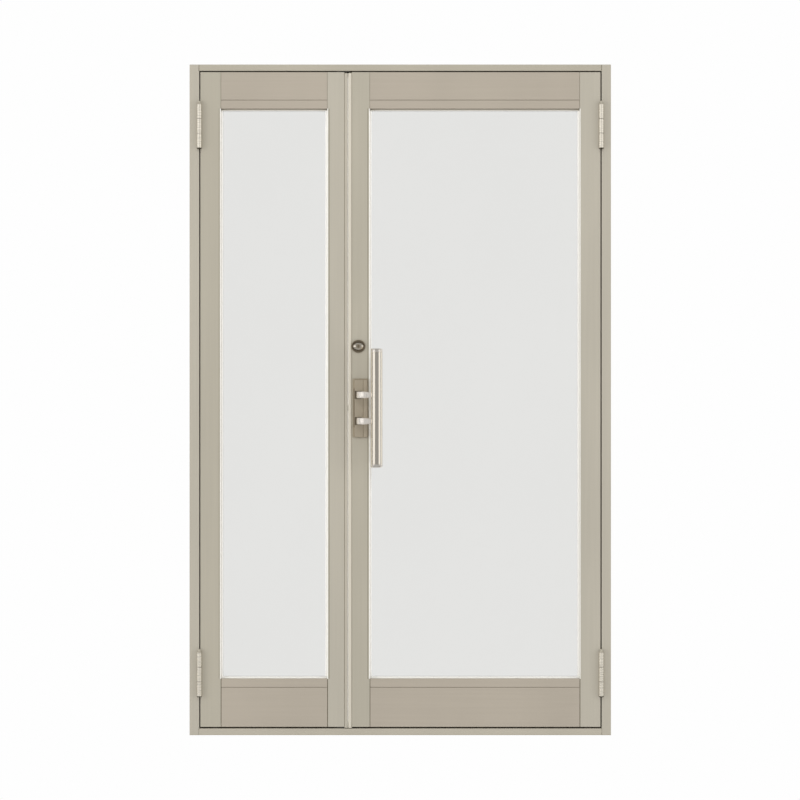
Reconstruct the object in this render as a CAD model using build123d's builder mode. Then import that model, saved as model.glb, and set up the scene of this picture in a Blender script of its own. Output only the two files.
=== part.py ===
from build123d import *
import os

# Entrance door of aluminium and glass: a frame, a wide main leaf on the right and a narrow side
# leaf on the left, both hinged on the frame's jambs and opening outward.
# X runs to the right as seen from outside, Y runs into the building and Z runs up.
# The origin is the middle of the sill's underside. Sizes are in millimetres.

os.makedirs("parts", exist_ok=True)

# Frame sizes
frame_width = 1268
frame_height = 2018
frame_depth = 70
jamb_face = 27
head_face = 17.5
sill_face = 20
stop_rise = 13
stop_depth = 30
wall = 2
edge_wall = 3
fixing_count = 3
fixing_spacing = 800
fixing_radius = 3.25
fixing_y = 23
frame_block_length = 40
frame_block_depth = 30

# Closing gasket in the frame's stops
groove_inset = 3
groove_size = 4
bulb_overhang = 1.5
bulb_clearance = 0.3

# Leaf sizes and the gaps round them
leaf_depth = 36
side_gap = 5.5
sill_gap = 5
meeting_gap = 5
meeting_x = -158
hinge_stile_width = 61.5
main_meeting_stile_width = 63.5
side_meeting_stile_width = 59
top_rail_height = 83.5
bottom_rail_height = 118.5
stile_cap_thickness = 3
rail_block_length = 60

# Glazing sizes
lip_depth = 11
pocket_depth = 14
bead_height = 26
shadow_gap = 1
shadow_depth = 3
joint_bevel = 0.8
glass_thickness = 6
glass_in_stile = 10
gasket_sight = 6
gasket_hidden = 5
gasket_bevel = 2
setting_block_length = 60
setting_block_height = 8
setting_block_inset = 0.18
setting_block_play = 0.5

# Meeting strips and their seal
nose_gap = 2
main_strip_width = 11.5
main_strip_proud = 1.5
main_nose_radius = 5
side_strip_width = 9.5
side_strip_set_back = 1
side_nose_radius = 2
strip_drop = 3
seal_set_back = 5.5
seal_width = 4
seal_root = 2
seal_bulge = 1.3
seal_round = 1.2

# Hinge sizes
hinge_length = 132
hinge_bottoms = (118, 1766)
knuckle_gap = 0.3
barrel_radius = 6.5
barrel_stand_off = 7.7
plate_thickness = 2.5
plate_depth = 24
pin_radius = 3
pin_clearance = 0.05

# Handle sizes
handle_height = 984.5
base_width = 44.8
base_length = 175
base_thickness = 9
base_centre_x = -120.6
base_chamfer = 1.5
base_groove_x = -112
base_groove_width = 1.2
base_groove_depth = 1
arm_spacing = 78.5
arm_height = 20
arm_tip_height = 15
arm_thickness = 12
arm_x = -125
arm_bend_radius = 23
arm_root = 4.5
arm_taper_length = 20
slot_play = 1.2
slot_left = -135
slot_right = -116.5
slot_skin = 2
bar_x = -70.8
bar_stand_off = 48
bar_radius = 17
bar_length = 355
bar_cap_length = 11
rod_radius = 2.5
rod_length = 116
rod_x = -137.5
rod_stand_off = 3.7
rod_web = (6.4, 2.2)
rod_slot_play = 3.5
bolt_x = -122
bolt_rise = 68
bolt_radius = 3
base_cut_width = 20
base_cut_height = 150

# Lock sizes
lock_y = -11.5
latch_height = handle_height
deadlock_height = 1170
lock_axis_x = -126.1
faceplate_width = 20
faceplate_thickness = 2
strike_length = 90
case_thickness = 14
case_wall = 1.6
case_cut_width = 15
strike_cut_width = 14
latch_plate_length = 120
latch_case_height = 84
latch_case_depth = 41.5
latch_reach = 12
latch_width = 10
latch_bolt_height = 16
latch_head_length = 18.5
latch_slope_length = 10.5
latch_slope_flat = 4
latch_tail_length = 18
latch_tail_width = 6
latch_tail_height = 10
deadlock_plate_length = 110
deadlock_case_height = 72
deadlock_case_depth = 43.5
deadbolt_set_back = 0.3
deadbolt_width = 9
deadbolt_height = 28
deadbolt_head_length = 18.2
deadbolt_rail_length = 21
deadbolt_rail_height = 3.5
bolt_play = 0.3

# Lock cylinder outside and thumbturn inside
collar_radius = 19.5
collar_thickness = 5
cylinder_radius = 15.5
cylinder_thickness = 7
plug_radius = 6.2
keyhole = (1.8, 7.5, 14)
rose_size = 35
rose_thickness = 6
spindle_radius = 4
spindle_play = 0.06
lock_cut_size = 24
case_hole_size = 14
turn_gap = 0.3
turn_width = 9
turn_length = 32
turn_depth = 16
cam_width = 5
cam_reach = 10
cam_thickness = 6

# Flush bolts of the side leaf
flush_rod_size = 10
flush_rod_x = -172
flush_rod_set_back = 0.5
flush_throw = 15
flush_plate_length = 160
flush_plate_inset = 10
flush_cut_width = 12
flush_cut_length = 60
flush_knob_length = 20
flush_knob_width = 8
flush_knob_play = 0.5
flush_rod_tail = 6
keeper_length = 40
keeper_thickness = 1.5
keeper_play = 0.8
socket_play = 1.5

# Places worked out from the sizes
front_y = -frame_depth / 2
back_y = frame_depth / 2
leaf_back_y = front_y + leaf_depth
leaf_mid_y = front_y + leaf_depth / 2
stop_y = back_y - stop_depth
jamb_outer_x = frame_width / 2
jamb_inner_x = jamb_outer_x - jamb_face
stop_x = jamb_inner_x - stop_rise
head_under = frame_height - head_face
leaf_edge_x = jamb_inner_x - side_gap
leaf_top = head_under - side_gap
leaf_bottom = sill_face + sill_gap
leaf_height = leaf_top - leaf_bottom
leaf_mid_z = (leaf_top + leaf_bottom) / 2
main_edge_x = meeting_x + meeting_gap / 2
side_edge_x = meeting_x - meeting_gap / 2
outer_lip_y = front_y + lip_depth
inner_lip_y = leaf_back_y - lip_depth
glass_front_y = leaf_mid_y - glass_thickness / 2
glass_back_y = leaf_mid_y + glass_thickness / 2
top_body = leaf_top - top_rail_height
bottom_body = leaf_bottom + bottom_rail_height
sight_top = top_body - bead_height
sight_bottom = bottom_body + bead_height
main_sight = (main_edge_x + main_meeting_stile_width, leaf_edge_x - hinge_stile_width)
side_sight = (-leaf_edge_x + hinge_stile_width, side_edge_x - side_meeting_stile_width)
leaf_mid_plane = Plane.XZ.offset(-leaf_mid_y)
mid_height_plane = Plane.XY.offset(leaf_mid_z)


def rect(x0, y0, x1, y1, mode=Mode.ADD):
    """A rectangle in the sketch from one corner to the other."""
    with Locations(((x0 + x1) / 2, (y0 + y1) / 2)):
        Rectangle(abs(x1 - x0), abs(y1 - y0), mode=mode)


def block(corner, opposite, mode=Mode.ADD):
    """A box in the part from one corner to the opposite one."""
    with Locations(tuple((a + b) / 2 for a, b in zip(corner, opposite))):
        Box(*[abs(b - a) for a, b in zip(corner, opposite)], mode=mode)


def bore(point, direction, radius, length, mode=Mode.SUBTRACT):
    """A round hole, or in the adding mode a rod, from a point along a direction."""
    with Locations(Plane(origin=point, z_dir=direction).location):
        Cylinder(radius, length, align=(Align.CENTER, Align.CENTER, Align.MIN), mode=mode)


def keep(piece, name):
    """Labels a finished piece and writes it to its file."""
    piece.part.label = name
    export_step(piece.part, f"parts/{name}.step")


# Frame: two jambs of full height with the head and the sill between them, all hollow, with a
# stop behind the leaves that carries the closing gasket in a groove
groove_near = stop_x + groove_inset
groove_far = groove_near + groove_size
groove_back_y = stop_y + groove_size
groove_low = sill_face + stop_rise - groove_inset
groove_high = head_under - stop_rise + groove_inset
socket_half = flush_rod_size / 2 + socket_play

for side, name in ((1, "right"), (-1, "left")):
    with BuildPart() as jamb:
        with BuildSketch():
            rect(side * jamb_inner_x, front_y, side * jamb_outer_x, back_y)
            rect(side * stop_x, stop_y, side * jamb_inner_x, back_y)
            rect(
                side * (jamb_inner_x + edge_wall), front_y + wall,
                side * (jamb_outer_x - wall), back_y - wall, Mode.SUBTRACT,
            )
            rect(
                side * (stop_x + wall), groove_back_y + wall,
                side * (jamb_outer_x - wall), back_y - wall, Mode.SUBTRACT,
            )
            rect(side * groove_near, stop_y, side * groove_far, groove_back_y, Mode.SUBTRACT)
        extrude(amount=frame_height)
        for step in range(fixing_count):
            z = frame_height / 2 + (step - (fixing_count - 1) / 2) * fixing_spacing
            bore((side * stop_x, fixing_y, z), (side, 0, 0), fixing_radius, frame_depth)
        for z in (groove_low - groove_size, groove_high):
            block(
                (side * stop_x, stop_y, z),
                (side * groove_near, groove_back_y, z + groove_size), Mode.SUBTRACT,
            )
    keep(jamb, f"{name}_jamb")

for name, face_z, body_z, stop_z, up in (
    ("head", frame_height, head_under, head_under - stop_rise, 1),
    ("sill", 0, sill_face, sill_face + stop_rise, -1),
):
    with BuildPart() as crosspiece:
        with BuildSketch(Plane.YZ.offset(-jamb_inner_x)):
            rect(front_y, face_z, back_y, body_z)
            rect(stop_y, body_z, back_y, stop_z)
            rect(
                front_y + wall, face_z - up * wall,
                back_y - wall, body_z + up * wall, Mode.SUBTRACT,
            )
            rect(
                groove_back_y + wall, body_z + up * wall,
                back_y - wall, stop_z + up * wall, Mode.SUBTRACT,
            )
            rect(
                stop_y, stop_z + up * groove_inset,
                groove_back_y, stop_z + up * (groove_inset + groove_size), Mode.SUBTRACT,
            )
        extrude(amount=2 * jamb_inner_x)
        for side in (1, -1):
            block((side * stop_x, stop_y, face_z), (side * jamb_inner_x, back_y, stop_z), Mode.SUBTRACT)
        block(
            (flush_rod_x - socket_half, lock_y - socket_half, body_z),
            (flush_rod_x + socket_half, lock_y + socket_half, body_z + up * wall), Mode.SUBTRACT,
        )
    keep(crosspiece, name)

with BuildPart() as frame_corner_blocks:
    for low_z, high_z in ((wall, sill_face - wall), (head_under + wall, frame_height - wall)):
        block(
            (jamb_inner_x - frame_block_length, front_y + wall, low_z),
            (jamb_inner_x, front_y + wall + frame_block_depth, high_z),
        )
    mirror(about=Plane.YZ)
keep(frame_corner_blocks, "frame_corner_blocks")

# Closing gasket: one ring with its root in the groove and its bulb just clear of the closed leaves
bulb_y = leaf_back_y + bulb_clearance
with BuildPart() as stop_gasket:
    with BuildSketch(Plane.XZ.offset(-groove_back_y)):
        rect(-groove_far, groove_low - groove_size, groove_far, groove_high + groove_size)
        rect(-groove_near, groove_low, groove_near, groove_high, Mode.SUBTRACT)
    extrude(amount=groove_size)
    with BuildSketch(Plane.XZ.offset(-stop_y)):
        rect(
            -groove_far - bulb_overhang, groove_low - groove_size - bulb_overhang,
            groove_far + bulb_overhang, groove_high + groove_size + bulb_overhang,
        )
        rect(
            -groove_near + bulb_overhang, groove_low + bulb_overhang,
            groove_near - bulb_overhang, groove_high - bulb_overhang, Mode.SUBTRACT,
        )
    extrude(amount=stop_y - bulb_y)
    chamfer(stop_gasket.faces().sort_by(Axis.Y)[0].edges(), bulb_overhang)
keep(stop_gasket, "stop_gasket")

# Hinges: the frame's plates carry the lower knuckles and the leaf's plates the upper ones
pin_x = jamb_inner_x - side_gap / 2
pin_y = front_y - barrel_stand_off
knuckle_length = (hinge_length - knuckle_gap) / 2


def hinge_halves(face_x, outward, knuckle_low, bore_radius):
    """The plates on one face of the side gap in both hinges, with the knuckles they carry."""
    plate_x = face_x + outward * plate_thickness
    for bottom in hinge_bottoms:
        low_z = bottom + knuckle_low
        block((face_x, front_y, bottom), (plate_x, front_y + plate_depth, bottom + hinge_length))
        block((face_x, pin_y, low_z), (plate_x, front_y, low_z + knuckle_length))
        bore((pin_x, pin_y, low_z), (0, 0, 1), barrel_radius, knuckle_length, Mode.ADD)
        bore((pin_x, pin_y, low_z), (0, 0, 1), bore_radius, knuckle_length)


with BuildPart() as hinge_frame_leaves:
    hinge_halves(jamb_inner_x, -1, 0, pin_radius)
    mirror(about=Plane.YZ)
keep(hinge_frame_leaves, "hinge_frame_leaves")

with BuildPart() as right_hinge_door_leaves:
    hinge_halves(leaf_edge_x, 1, hinge_length - knuckle_length, pin_radius + pin_clearance)
keep(right_hinge_door_leaves, "right_hinge_door_leaves")

with BuildPart() as left_hinge_door_leaves:
    mirror(right_hinge_door_leaves.part, about=Plane.YZ)
keep(left_hinge_door_leaves, "left_hinge_door_leaves")

with BuildPart() as hinge_pins:
    for bottom in hinge_bottoms:
        bore((pin_x, pin_y, bottom), (0, 0, 1), pin_radius, hinge_length, Mode.ADD)
    mirror(about=Plane.YZ)
keep(hinge_pins, "hinge_pins")

# Stiles: a tube with a glazing pocket between two hollow lips, and a rebate for the meeting strip
strip_overhang = (meeting_gap - nose_gap) / 2
stiles = {
    "main_hinge_stile": (leaf_edge_x, -1, hinge_stile_width, 0),
    "main_meeting_stile": (
        main_edge_x, 1, main_meeting_stile_width, main_strip_width - strip_overhang,
    ),
    "side_hinge_stile": (-leaf_edge_x, 1, hinge_stile_width, 0),
    "side_meeting_stile": (
        side_edge_x, -1, side_meeting_stile_width, side_strip_width - strip_overhang,
    ),
}


def tube_hollow(stile, mode):
    """The hollow of a stile's tube, which its end caps also fill."""
    edge, inward, width, rebate = stiles[stile]
    floor = edge + inward * (width - pocket_depth - edge_wall)
    near = edge + inward * (rebate + wall)
    rect(near, front_y + wall, floor, leaf_back_y - wall, mode)
    if rebate:
        rect(edge + inward * edge_wall, outer_lip_y + wall, near, leaf_back_y - wall, mode)


def stile_section(stile):
    """The whole section of a stile, seen from above."""
    edge, inward, width, rebate = stiles[stile]
    lip = edge + inward * width
    pocket_floor = lip - inward * pocket_depth
    rect(edge, front_y, lip, leaf_back_y)
    rect(pocket_floor, outer_lip_y, lip, inner_lip_y, Mode.SUBTRACT)
    if rebate:
        rect(edge, front_y, edge + inward * rebate, outer_lip_y, Mode.SUBTRACT)
    tube_hollow(stile, Mode.SUBTRACT)
    for low, high in ((front_y, outer_lip_y), (inner_lip_y, leaf_back_y)):
        rect(pocket_floor, low + wall, lip - inward * wall, high - wall, Mode.SUBTRACT)


def edge_cut(edge, inward, depth, height, length, width):
    """A cut into a meeting stile's edge, as deep, as tall and as wide as given."""
    block(
        (edge, lock_y - width / 2, height - length / 2),
        (edge + inward * depth, lock_y + width / 2, height + length / 2), Mode.SUBTRACT,
    )


flush_plate_z = leaf_top - flush_plate_inset - flush_plate_length / 2
main_cuts = (
    (latch_height, latch_plate_length, case_cut_width, latch_case_height),
    (deadlock_height, deadlock_plate_length, case_cut_width, deadlock_case_height),
)
side_cuts = (
    (latch_height, strike_length, strike_cut_width, latch_bolt_height + 8),
    (deadlock_height, strike_length, strike_cut_width, deadbolt_height + 8),
    (flush_plate_z, flush_plate_length, flush_cut_width, flush_cut_length),
    (2 * leaf_mid_z - flush_plate_z, flush_plate_length, flush_cut_width, flush_cut_length),
)
stile_cuts = {"main_meeting_stile": main_cuts, "side_meeting_stile": side_cuts}
face_cuts = (
    (bolt_x, handle_height, base_cut_width / 2, base_cut_height / 2),
    (lock_axis_x, deadlock_height, lock_cut_size / 2, lock_cut_size / 2),
)

for name, (edge, inward, _, _) in stiles.items():
    with BuildPart() as stile:
        with BuildSketch(Plane.XY.offset(leaf_bottom)):
            stile_section(name)
        extrude(amount=leaf_height)
        for height, plate_length, cut_width, cut_length in stile_cuts.get(name, ()):
            edge_cut(edge, inward, faceplate_thickness, height, plate_length, faceplate_width)
            edge_cut(edge, inward, edge_wall, height, cut_length, cut_width)
        if name == "main_meeting_stile":
            for x, z, half_width, half_height in face_cuts:
                for wall_y in (front_y, leaf_back_y - wall):
                    block(
                        (x - half_width, wall_y, z - half_height),
                        (x + half_width, wall_y + wall, z + half_height), Mode.SUBTRACT,
                    )
    keep(stile, name)

# Rails: a hollow body and a fixed inner lip, with tongues that enter the stiles' pockets
rails = (
    ("top", leaf_top, top_body, sight_top, -1),
    ("bottom", leaf_bottom, bottom_body, sight_bottom, 1),
)
for leaf, sight in (("main", main_sight), ("side", side_sight)):
    low_x, high_x = sorted(sight)
    for name, outer_z, body_z, lip_z, inward in rails:
        with BuildPart() as rail:
            with BuildSketch(Plane.YZ.offset(low_x - pocket_depth)):
                rect(front_y, outer_z, leaf_back_y, body_z)
                rect(inner_lip_y, body_z, leaf_back_y, lip_z)
                rect(
                    front_y + wall, outer_z + inward * wall,
                    leaf_back_y - wall, body_z - inward * wall, Mode.SUBTRACT,
                )
                rect(
                    inner_lip_y + wall, body_z,
                    leaf_back_y - wall, lip_z - inward * wall, Mode.SUBTRACT,
                )
            extrude(amount=high_x - low_x + 2 * pocket_depth)
            for lip_x, end_x in ((low_x, low_x - pocket_depth), (high_x, high_x + pocket_depth)):
                for low_y, high_y in ((front_y, outer_lip_y), (inner_lip_y, leaf_back_y)):
                    block((lip_x, low_y, outer_z), (end_x, high_y, lip_z), Mode.SUBTRACT)
            chamfer(rail.edges().filter_by(Axis.Z).group_by(Axis.Y)[0], joint_bevel)
        keep(rail, f"{leaf}_{name}_rail")

# Glazing beads: one along each rail outside, with a shadow groove where it meets the rail
for leaf, sight in (("main", main_sight), ("side", side_sight)):
    with BuildPart() as beads:
        for _, _, body_z, lip_z, inward in rails:
            with BuildSketch(Plane.YZ.offset(min(sight))):
                rect(front_y, body_z, outer_lip_y, lip_z)
                rect(
                    front_y, body_z,
                    front_y + shadow_depth, body_z + inward * shadow_gap, Mode.SUBTRACT,
                )
                rect(
                    front_y + wall, body_z + inward * (shadow_gap + wall),
                    outer_lip_y - wall, lip_z - inward * wall, Mode.SUBTRACT,
                )
            extrude(amount=abs(sight[1] - sight[0]))
        chamfer(beads.edges().filter_by(Axis.Z).group_by(Axis.Y)[0], joint_bevel)
    keep(beads, f"{leaf}_glazing_beads")

# Glass panes, the gaskets on their two sides, the blocks under them and the leaves' inner joints
glass_low_z = bottom_body + setting_block_height
glass_high_z = sight_top + glass_in_stile
for leaf, sight in (("main", main_sight), ("side", side_sight)):
    low_x, high_x = sorted(sight)
    with BuildPart() as glass:
        block(
            (low_x - glass_in_stile, glass_front_y, glass_low_z),
            (high_x + glass_in_stile, glass_back_y, glass_high_z),
        )
    keep(glass, f"{leaf}_glass")

    with BuildPart() as gaskets:
        for start_y, amount in ((glass_front_y, 1), (glass_back_y, -1)):
            with BuildSketch(Plane.XZ.offset(-start_y)):
                rect(
                    low_x - gasket_hidden, sight_bottom - gasket_hidden,
                    high_x + gasket_hidden, sight_top + gasket_hidden,
                )
                rect(
                    low_x + gasket_sight, sight_bottom + gasket_sight,
                    high_x - gasket_sight, sight_top - gasket_sight, Mode.SUBTRACT,
                )
            extrude(amount=amount * (glass_front_y - outer_lip_y))
        for face in (gaskets.faces().sort_by(Axis.Y)[0], gaskets.faces().sort_by(Axis.Y)[-1]):
            chamfer(face.inner_wires()[0].edges(), gasket_bevel)
    keep(gaskets, f"{leaf}_gaskets")

    with BuildPart() as setting_blocks:
        inset = setting_block_inset * (high_x - low_x)
        for x in (low_x + inset, high_x - inset):
            block(
                (x - setting_block_length / 2, outer_lip_y + setting_block_play, bottom_body),
                (x + setting_block_length / 2, inner_lip_y - setting_block_play, glass_low_z),
            )
    keep(setting_blocks, f"{leaf}_setting_blocks")

    with BuildPart() as rail_joint_blocks:
        for x, inward in ((low_x - pocket_depth, 1), (high_x + pocket_depth, -1)):
            for _, outer_z, body_z, _, up in rails:
                block(
                    (x, outer_lip_y, outer_z + up * wall),
                    (x + inward * rail_block_length, inner_lip_y, body_z - up * wall),
                )
    keep(rail_joint_blocks, f"{leaf}_rail_joint_blocks")

    with BuildPart() as stile_caps:
        for z in (leaf_bottom, leaf_top - stile_cap_thickness):
            with BuildSketch(Plane.XY.offset(z)):
                tube_hollow(f"{leaf}_hinge_stile", Mode.ADD)
                tube_hollow(f"{leaf}_meeting_stile", Mode.ADD)
            extrude(amount=stile_cap_thickness)
        if leaf == "side":
            block(
                (flush_rod_x - socket_half, lock_y - socket_half, leaf_bottom),
                (flush_rod_x + socket_half, lock_y + socket_half, leaf_top), Mode.SUBTRACT,
            )
    keep(stile_caps, f"{leaf}_stile_caps")

# Meeting strips: round-nosed covers that lie in the rebates of the two meeting stiles
strip_low = leaf_bottom - strip_drop
main_nose_x = meeting_x + nose_gap / 2
side_nose_x = meeting_x - nose_gap / 2
with BuildPart() as main_meeting_strip:
    with BuildSketch(Plane.XY.offset(strip_low)) as main_strip_section:
        rect(
            main_nose_x, front_y - main_strip_proud,
            main_nose_x + main_strip_width, outer_lip_y,
        )
        fillet(main_strip_section.vertices().group_by(Axis.Y)[0], main_nose_radius)
    extrude(amount=leaf_height)
keep(main_meeting_strip, "main_meeting_strip")

seal_y = front_y + seal_set_back
with BuildPart() as side_meeting_strip:
    with BuildSketch(Plane.XY.offset(strip_low)) as side_strip_section:
        rect(
            side_nose_x - side_strip_width, front_y + side_strip_set_back,
            side_nose_x, outer_lip_y,
        )
        fillet(side_strip_section.vertices().group_by(Axis.Y)[0], side_nose_radius)
        rect(
            side_nose_x - seal_root, seal_y - seal_width / 2,
            side_nose_x, seal_y + seal_width / 2, Mode.SUBTRACT,
        )
    extrude(amount=leaf_height)
keep(side_meeting_strip, "side_meeting_strip")

with BuildPart() as meeting_seal:
    with BuildSketch(Plane.XY.offset(strip_low)) as seal_section:
        rect(
            side_nose_x - seal_root, seal_y - seal_width / 2,
            side_nose_x + seal_bulge, seal_y + seal_width / 2,
        )
        fillet(seal_section.vertices().group_by(Axis.X)[-1], seal_round)
    extrude(amount=leaf_height)
keep(meeting_seal, "meeting_seal")

# Handles: a base on each face of the main meeting stile, and a yoke with two bent arms that
# turns in the base on an upright rod and carries the bar
base_front = front_y - base_thickness
base_low_x = base_centre_x - base_width / 2
base_high_x = base_centre_x + base_width / 2
base_low_z = handle_height - base_length / 2
base_high_z = handle_height + base_length / 2
arm_heights = (handle_height - arm_spacing / 2, handle_height + arm_spacing / 2)
slot_half = arm_height / 2 + slot_play
groove_half = base_groove_width / 2
rod_y = front_y - rod_stand_off
rod_way = rod_radius + pin_clearance
rod_low = (rod_x, rod_y, handle_height - rod_length / 2)
bar_y = front_y - bar_stand_off

with BuildPart() as outer_handle_base:
    block((base_low_x, base_front, base_low_z), (base_high_x, front_y, base_high_z))
    chamfer(outer_handle_base.edges().group_by(Axis.Y)[0], base_chamfer)
    block(
        (base_groove_x - groove_half, base_front, base_low_z),
        (base_groove_x + groove_half, base_front + base_groove_depth, base_high_z), Mode.SUBTRACT,
    )
    for z in arm_heights:
        block(
            (slot_left, base_front, z - slot_half),
            (slot_right, front_y, z + slot_half), Mode.SUBTRACT,
        )
        block(
            (rod_x - rod_slot_play, base_front + slot_skin, z - slot_half),
            (slot_right, front_y, z + slot_half), Mode.SUBTRACT,
        )
    block(
        (rod_x - rod_way, rod_y - rod_way, handle_height - rod_length / 2),
        (rod_x + rod_way, front_y, handle_height + rod_length / 2), Mode.SUBTRACT,
    )
keep(outer_handle_base, "outer_handle_base")

with BuildPart() as handle_bolts:
    for z in (handle_height - bolt_rise, handle_height + bolt_rise):
        bore((bolt_x, front_y, z), (0, 1, 0), bolt_radius, leaf_depth, Mode.ADD)
keep(handle_bolts, "handle_bolts")

bend_x = arm_x + arm_bend_radius
bend_y = bar_y + arm_bend_radius
half_arm = arm_thickness / 2
bend_reach = arm_bend_radius + half_arm
taper_end_x = bar_x - bar_radius
taper_start_x = taper_end_x - arm_taper_length
with BuildPart() as outer_handle_yoke:
    for z in arm_heights:
        with BuildSketch(Plane.XY.offset(z - arm_height / 2)):
            with Locations((bend_x, bend_y)):
                Circle(bend_reach)
                Circle(arm_bend_radius - half_arm, mode=Mode.SUBTRACT)
            rect(bend_x - bend_reach, bend_y, bend_x + bend_reach, bend_y + bend_reach, Mode.SUBTRACT)
            rect(bend_x, bend_y - bend_reach, bend_x + bend_reach, bend_y, Mode.SUBTRACT)
            rect(arm_x - half_arm, bend_y, arm_x + half_arm, front_y - arm_root)
            rect(bend_x, bar_y - half_arm, bar_x, bar_y + half_arm)
        extrude(amount=arm_height)
    with BuildSketch(Plane.XZ.offset(-front_y)):
        for z in arm_heights:
            with BuildLine():
                Polyline(
                    (arm_x - half_arm, z - arm_height / 2),
                    (taper_start_x, z - arm_height / 2),
                    (taper_end_x, z - arm_tip_height / 2),
                    (bar_x, z - arm_tip_height / 2),
                    (bar_x, z + arm_tip_height / 2),
                    (taper_end_x, z + arm_tip_height / 2),
                    (taper_start_x, z + arm_height / 2),
                    (arm_x - half_arm, z + arm_height / 2),
                    close=True,
                )
            make_face()
    extrude(amount=bar_stand_off + bend_reach, mode=Mode.INTERSECT)
    bore((bar_x, bar_y, base_low_z), (0, 0, 1), bar_radius, base_length)
    for z in arm_heights:
        block(
            (rod_x, front_y - rod_web[0], z - arm_height / 2),
            (arm_x, front_y - rod_web[1], z + arm_height / 2),
        )
    bore(rod_low, (0, 0, 1), rod_radius, rod_length, Mode.ADD)
keep(outer_handle_yoke, "outer_handle_yoke")

tube_half = bar_length / 2 - bar_cap_length
with BuildPart() as outer_handle_bar:
    bore((bar_x, bar_y, handle_height - tube_half), (0, 0, 1), bar_radius, 2 * tube_half, Mode.ADD)
keep(outer_handle_bar, "outer_handle_bar")

with BuildPart() as outer_handle_caps:
    for z in (handle_height - bar_length / 2, handle_height + tube_half):
        bore((bar_x, bar_y, z), (0, 0, 1), bar_radius, bar_cap_length, Mode.ADD)
keep(outer_handle_caps, "outer_handle_caps")

for name, outer_piece in (
    ("inner_handle_base", outer_handle_base),
    ("inner_handle_yoke", outer_handle_yoke),
    ("inner_handle_bar", outer_handle_bar),
    ("inner_handle_caps", outer_handle_caps),
):
    with BuildPart() as inner_piece:
        mirror(outer_piece.part, about=leaf_mid_plane)
    keep(inner_piece, name)

# Latch and deadlock: a faceplate in the stile's edge with a hollow case behind it
plate_back_x = main_edge_x + faceplate_thickness
latch_tip_x = main_edge_x - latch_reach
latch_back_x = latch_tip_x + latch_head_length
deadbolt_back_x = main_edge_x + deadbolt_set_back + deadbolt_head_length


def lock_case(height, plate_length, case_height, case_depth, bolt_width, bolt_height):
    """A faceplate and its case, with a hole that the bolt passes."""
    half_case = case_thickness / 2
    half_height = case_height / 2
    back_x = plate_back_x + case_depth
    bolt_half_y = bolt_width / 2 + bolt_play
    bolt_half_z = bolt_height / 2 + bolt_play
    block(
        (main_edge_x, lock_y - faceplate_width / 2, height - plate_length / 2),
        (plate_back_x, lock_y + faceplate_width / 2, height + plate_length / 2),
    )
    block(
        (plate_back_x, lock_y - half_case, height - half_height),
        (back_x, lock_y + half_case, height + half_height),
    )
    block(
        (plate_back_x, lock_y - half_case + case_wall, height - half_height + case_wall),
        (back_x - case_wall, lock_y + half_case - case_wall, height + half_height - case_wall),
        Mode.SUBTRACT,
    )
    block(
        (main_edge_x, lock_y - bolt_half_y, height - bolt_half_z),
        (plate_back_x, lock_y + bolt_half_y, height + bolt_half_z), Mode.SUBTRACT,
    )


with BuildPart() as latch_case:
    lock_case(
        latch_height, latch_plate_length, latch_case_height, latch_case_depth,
        latch_width, latch_bolt_height,
    )
keep(latch_case, "latch_case")

# Latch bolt, with its slope on the side that meets the strike as the leaf closes
with BuildPart() as latch_bolt:
    with BuildSketch(Plane.XY.offset(latch_height - latch_bolt_height / 2)):
        with BuildLine():
            Polyline(
                (latch_tip_x, lock_y - latch_width / 2),
                (latch_back_x, lock_y - latch_width / 2),
                (latch_back_x, lock_y + latch_width / 2),
                (latch_tip_x + latch_slope_length, lock_y + latch_width / 2),
                (latch_tip_x, lock_y - latch_width / 2 + latch_slope_flat),
                close=True,
            )
        make_face()
    extrude(amount=latch_bolt_height)
    block(
        (latch_back_x, lock_y - latch_tail_width / 2, latch_height - latch_tail_height / 2),
        (
            latch_back_x + latch_tail_length, lock_y + latch_tail_width / 2,
            latch_height + latch_tail_height / 2,
        ),
    )
keep(latch_bolt, "latch_bolt")

with BuildPart() as deadlock_case:
    lock_case(
        deadlock_height, deadlock_plate_length, deadlock_case_height, deadlock_case_depth,
        deadbolt_width, deadbolt_height,
    )
    half_hole = case_hole_size / 2
    block(
        (lock_axis_x - half_hole, lock_y - case_thickness / 2, deadlock_height - half_hole),
        (lock_axis_x + half_hole, lock_y + case_thickness / 2, deadlock_height + half_hole),
        Mode.SUBTRACT,
    )
keep(deadlock_case, "deadlock_case")

# Deadbolt: a head with two rails behind it that pass above and below the cam
with BuildPart() as deadbolt:
    block(
        (
            main_edge_x + deadbolt_set_back, lock_y - deadbolt_width / 2,
            deadlock_height - deadbolt_height / 2,
        ),
        (deadbolt_back_x, lock_y + deadbolt_width / 2, deadlock_height + deadbolt_height / 2),
    )
    for side in (-1, 1):
        outer_z = deadlock_height + side * deadbolt_height / 2
        block(
            (deadbolt_back_x, lock_y - deadbolt_width / 2, outer_z),
            (
                deadbolt_back_x + deadbolt_rail_length, lock_y + deadbolt_width / 2,
                outer_z - side * deadbolt_rail_height,
            ),
        )
keep(deadbolt, "deadbolt")

# Lock cylinder: a collar round a disc on the stile's face, and the plug that the key turns
plug_back_y = lock_y - case_thickness / 2 + case_wall
cylinder_face_y = front_y - cylinder_thickness


def lock_bore(y, radius, length, mode=Mode.SUBTRACT):
    """A round hole or disc about the lock's axis that starts at y and runs inward."""
    bore((lock_axis_x, y, deadlock_height), (0, 1, 0), radius, length, mode)


with BuildPart() as cylinder_collar:
    lock_bore(front_y - collar_thickness, collar_radius, collar_thickness, Mode.ADD)
    lock_bore(front_y - collar_thickness, cylinder_radius, collar_thickness)
keep(cylinder_collar, "cylinder_collar")

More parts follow.
